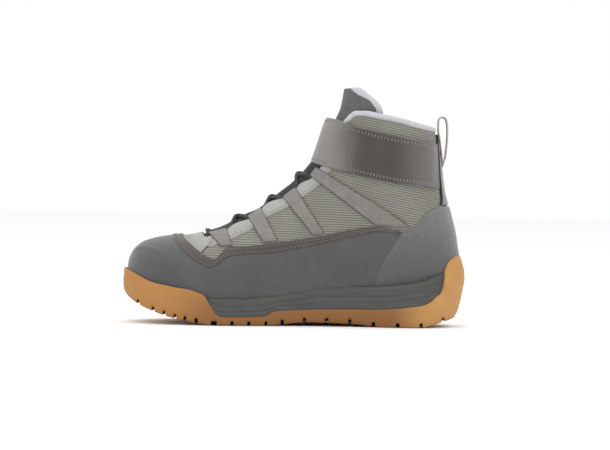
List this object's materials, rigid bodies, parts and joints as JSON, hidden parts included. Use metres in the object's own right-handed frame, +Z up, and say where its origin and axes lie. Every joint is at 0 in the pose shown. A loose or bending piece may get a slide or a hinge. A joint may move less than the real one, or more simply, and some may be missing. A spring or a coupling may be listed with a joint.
{
  "type": "wading boot",
  "caption": "Ankle-high wading boot for the right foot: gum cupsole, mesh upper with rand, toe cap and heel counter, webbing lace loops, ankle strap, padded tongue and pull loop.",
  "frame": {"origin": "on the floor under the middle of the whole boot's box", "axes": "+X towards the toe, +Z up, +Y towards the inner side of the foot"},
  "size_m": [0.3118, 0.1085, 0.2171],
  "materials": {
    "gum_rubber": "matte",
    "midsole_foam": "matte",
    "insole_cloth": "matte",
    "mesh_cloth": "matte",
    "microfibre": "matte",
    "trim_leather": "matte",
    "webbing": "matte",
    "strap_nubuck": "matte",
    "binding_cloth": "matte",
    "tongue_leather": "satin",
    "lace_cord": "matte"
  },
  "bodies": {
    "root": {"outsole": "gum_rubber", "midsole": "midsole_foam", "insole": "insole_cloth", "upper": "mesh_cloth", "rand": "microfibre", "rand_trim": "trim_leather", "heel_counter": "microfibre", "collar_binding": "binding_cloth", "tongue": "tongue_leather", "ankle_strap": "strap_nubuck", "back_strip": "webbing", "pull_loop": "webbing", "lace_loop_inner_1": "webbing", "lace_loop_outer_1": "webbing", "lace_loop_inner_2": "webbing", "lace_loop_outer_2": "webbing", "lace_loop_inner_3": "webbing", "lace_loop_outer_3": "webbing", "lace_loop_inner_4": "webbing", "lace_loop_outer_4": "webbing", "lace_bar_1": "lace_cord", "lace_crossing_1": "lace_cord", "lace_crossing_2": "lace_cord", "lace_crossing_3": "lace_cord"}
  },
  "joints": []
}
